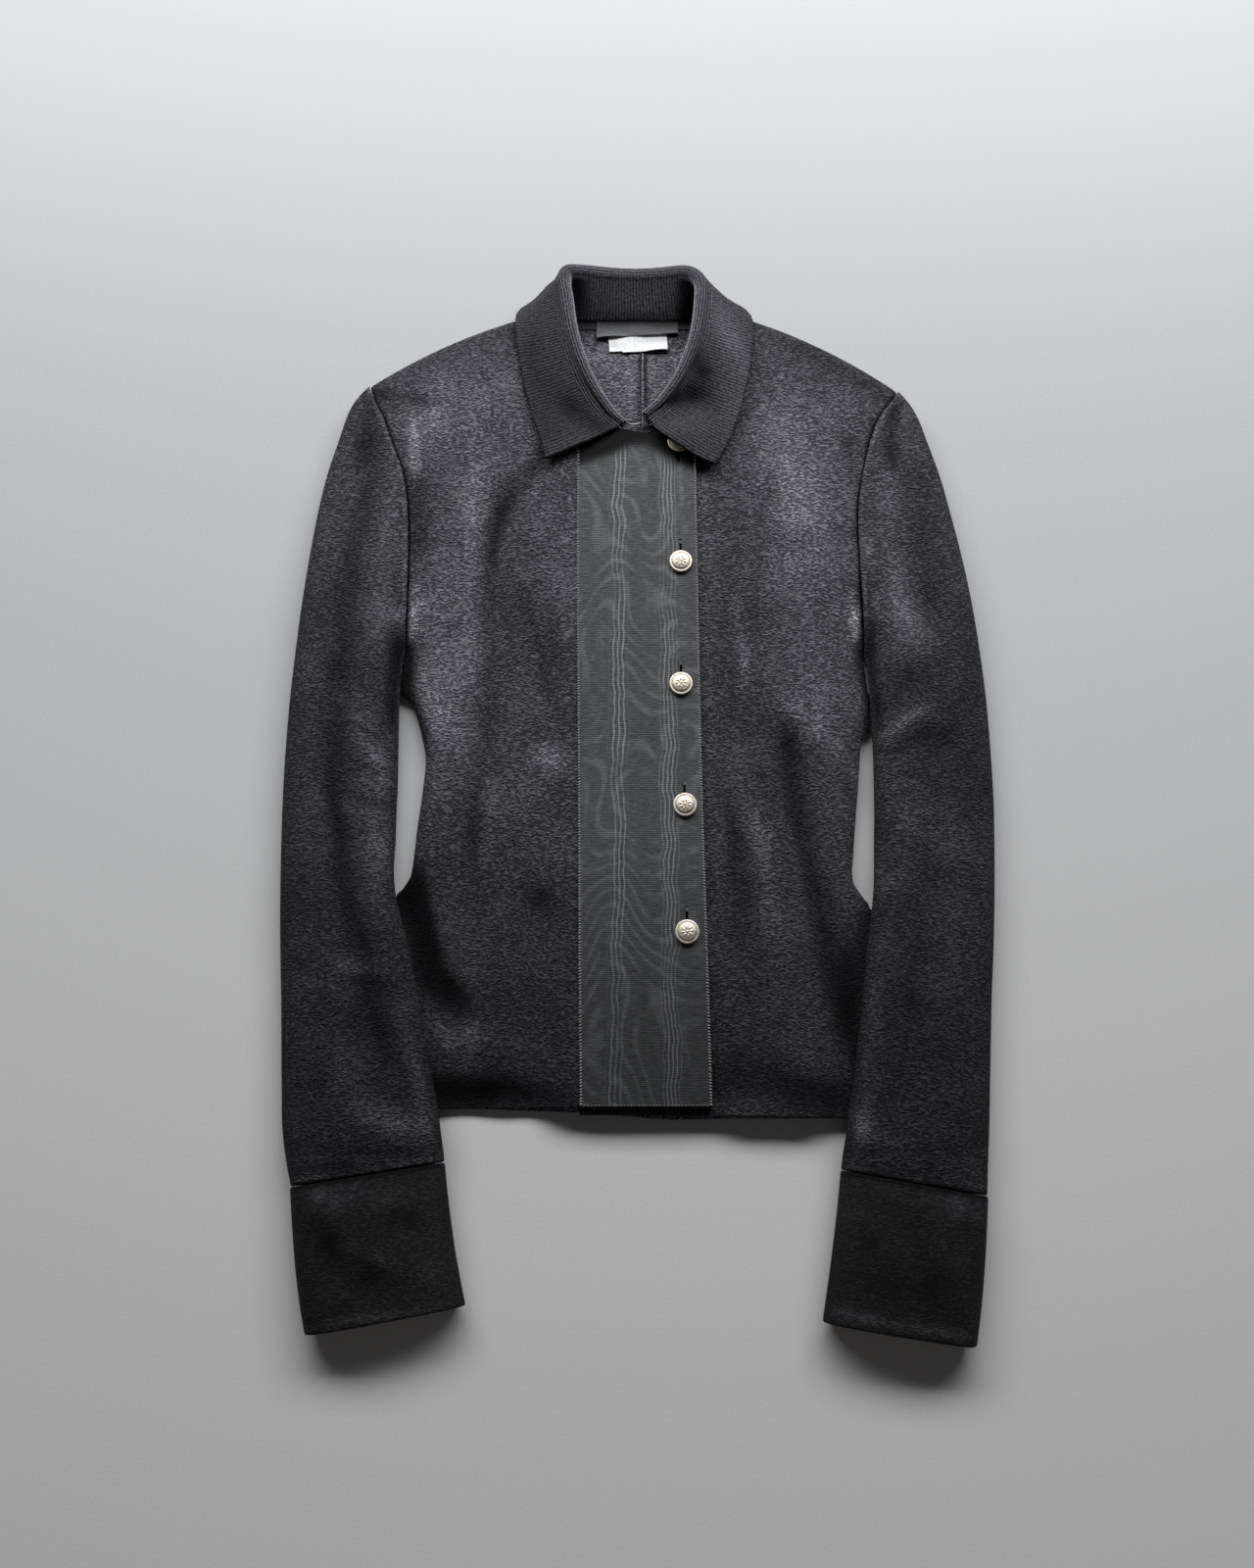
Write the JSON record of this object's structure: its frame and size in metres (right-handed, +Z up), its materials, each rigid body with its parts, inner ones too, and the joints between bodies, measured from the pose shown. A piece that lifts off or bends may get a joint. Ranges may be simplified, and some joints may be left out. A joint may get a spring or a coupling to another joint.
{
  "type": "blouson jacket",
  "caption": "Short knitted wool jacket laid flat face up: pointed knit collar, wide ribbon band with domed metal buttons, set-in sleeves and deep doubled cuffs.",
  "frame": {"origin": "middle of the underside of the box round the whole garment", "axes": "+Y from hem to collar, +X towards the wearer's left sleeve, +Z up from the surface it lies on"},
  "size_m": [0.4782, 0.7456, 0.0369],
  "materials": {
    "wool": "boiled wool knit, soft nap",
    "collar_knit": "fine ribbed wool knit",
    "ribbon": "moire grosgrain ribbon",
    "button_metal": "pale champagne metal, satin",
    "black_tape": "woven tape",
    "white_tape": "printed care tape, left bare"
  },
  "bodies": {
    "root": {"back_right": "wool", "back_left": "wool", "front_right": "wool", "front_left": "wool", "sleeve_right": "wool", "sleeve_left": "wool", "cuff_right": "wool", "cuff_left": "wool", "collar": "collar_knit", "front_band": "ribbon", "button_1": "button_metal", "button_2": "button_metal", "button_3": "button_metal", "button_4": "button_metal", "button_5": "button_metal", "neck_tape": "black_tape", "label": "black_tape", "care_label": "white_tape"}
  },
  "joints": []
}
